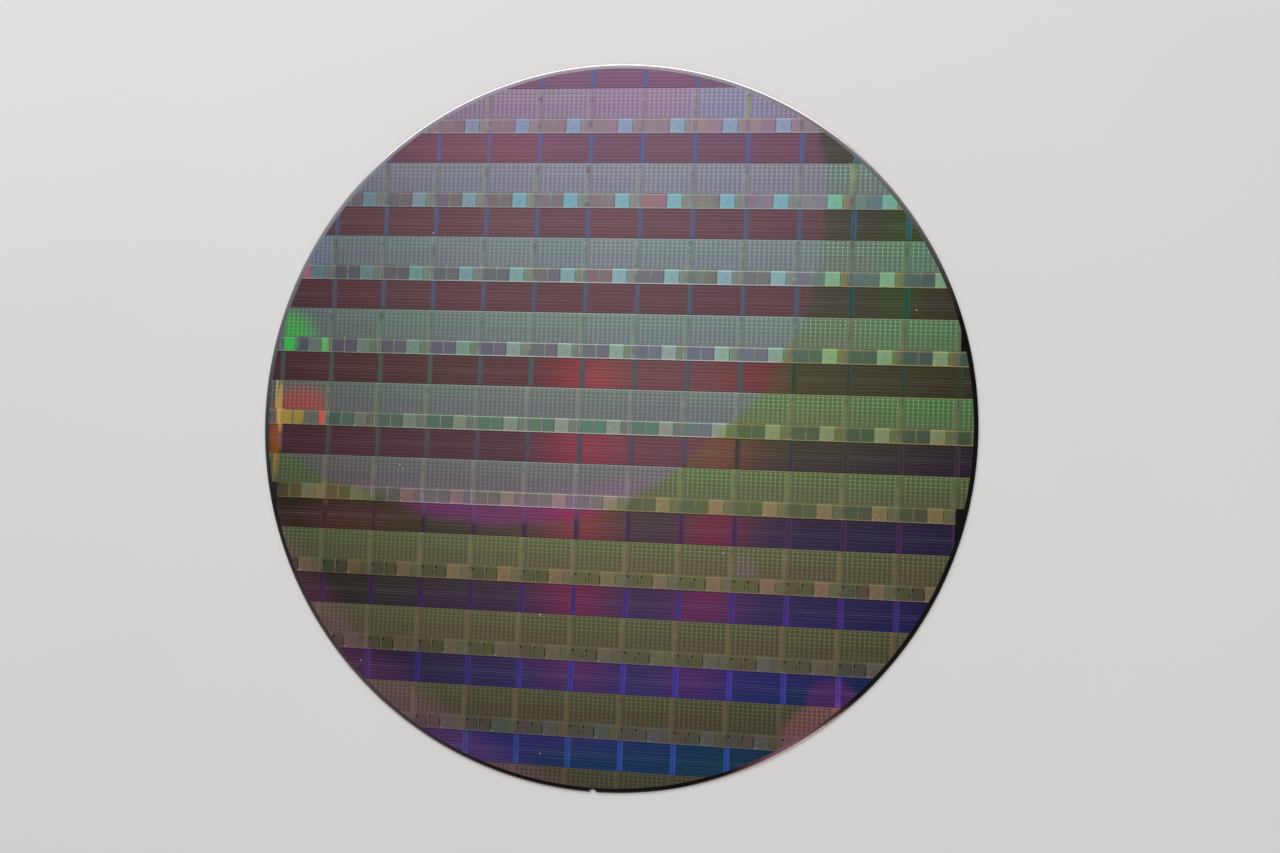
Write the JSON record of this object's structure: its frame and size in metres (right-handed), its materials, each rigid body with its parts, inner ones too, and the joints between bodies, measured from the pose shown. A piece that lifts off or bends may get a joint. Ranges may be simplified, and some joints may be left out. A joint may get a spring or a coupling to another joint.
{
  "type": "silicon wafer",
  "caption": "Thin round silicon disc with a bevelled rim, an alignment notch and a printed grid of chips on its upper face.",
  "frame": {"origin": "centre of the back face, on the surface that the wafer lies on", "axes": "+Z out of the printed face, -Y towards the notch, +X to the right as the chips stand upright"},
  "size_m": [0.3, 0.3, 0.0008],
  "materials": {
    "printed_silicon": "polished, with iridescent printed film"
  },
  "bodies": {
    "root": {"wafer": "printed_silicon"}
  },
  "joints": []
}
